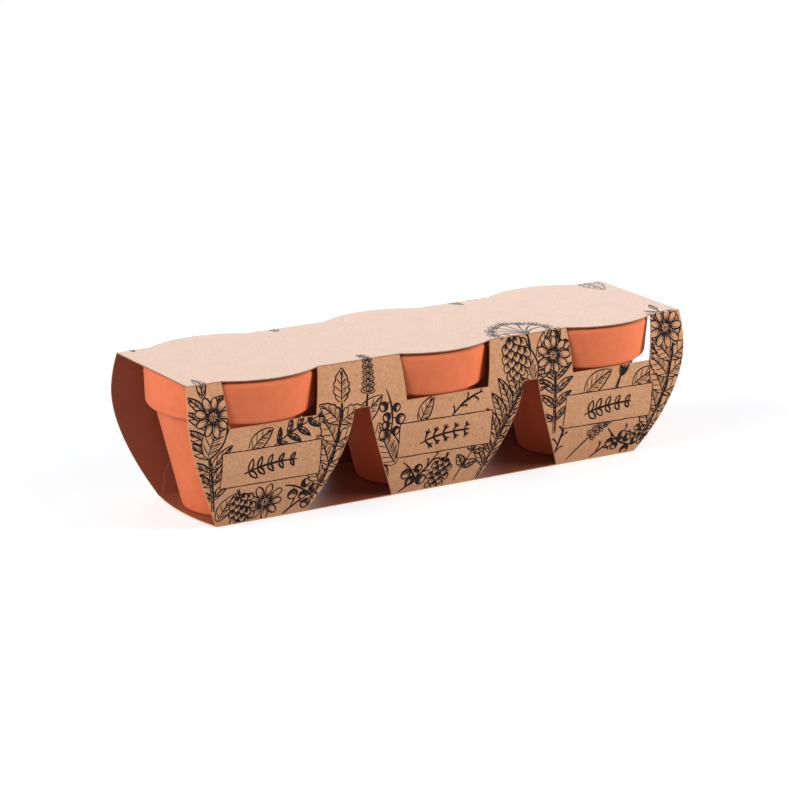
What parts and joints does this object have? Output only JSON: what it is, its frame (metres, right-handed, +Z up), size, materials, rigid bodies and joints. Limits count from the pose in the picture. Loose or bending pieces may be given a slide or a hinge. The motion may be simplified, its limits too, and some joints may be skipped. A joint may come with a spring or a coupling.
{
  "type": "indoor herb planter set",
  "caption": "Terracotta herb pots in a row inside an open-ended folded card sleeve with windows, tongues over the rims and gaps between the legs.",
  "frame": {"origin": "centre of the footprint, on the surface that the sleeve stands on", "axes": "+X to the right along the row of pots, +Y to the back, +Z up"},
  "size_m": [0.2514, 0.0716, 0.0637],
  "materials": {
    "kraft_card": "matte uncoated brown kraft card",
    "terracotta": "matte unglazed terracotta",
    "coir": "pressed coconut fibre",
    "seed_paper": "plain uncoated paper"
  },
  "bodies": {
    "sleeve": {"top_panel": "kraft_card", "front_panel": "kraft_card", "back_panel": "kraft_card", "base_panel": "kraft_card", "glue_tabs": "kraft_card"},
    "pot_1": {"pot_1": "terracotta", "coir_disc_1": "coir", "seed_sachet_1": "seed_paper"},
    "pot_2": {"pot_2": "terracotta", "coir_disc_2": "coir", "seed_sachet_2": "seed_paper"},
    "pot_3": {"pot_3": "terracotta", "coir_disc_3": "coir", "seed_sachet_3": "seed_paper"}
  },
  "joints": [
    {"name": "pot_1_turn", "type": "hinge", "parent": "sleeve", "child": "pot_1", "pos_m": [-0.08735, 0, 0.0005], "axis": [0, 0, 1], "continuous": true},
    {"name": "pot_2_turn", "type": "hinge", "parent": "sleeve", "child": "pot_2", "pos_m": [-0.00135, 0, 0.0005], "axis": [0, 0, 1], "continuous": true},
    {"name": "pot_3_turn", "type": "hinge", "parent": "sleeve", "child": "pot_3", "pos_m": [0.08465, 0, 0.0005], "axis": [0, 0, 1], "continuous": true}
  ]
}
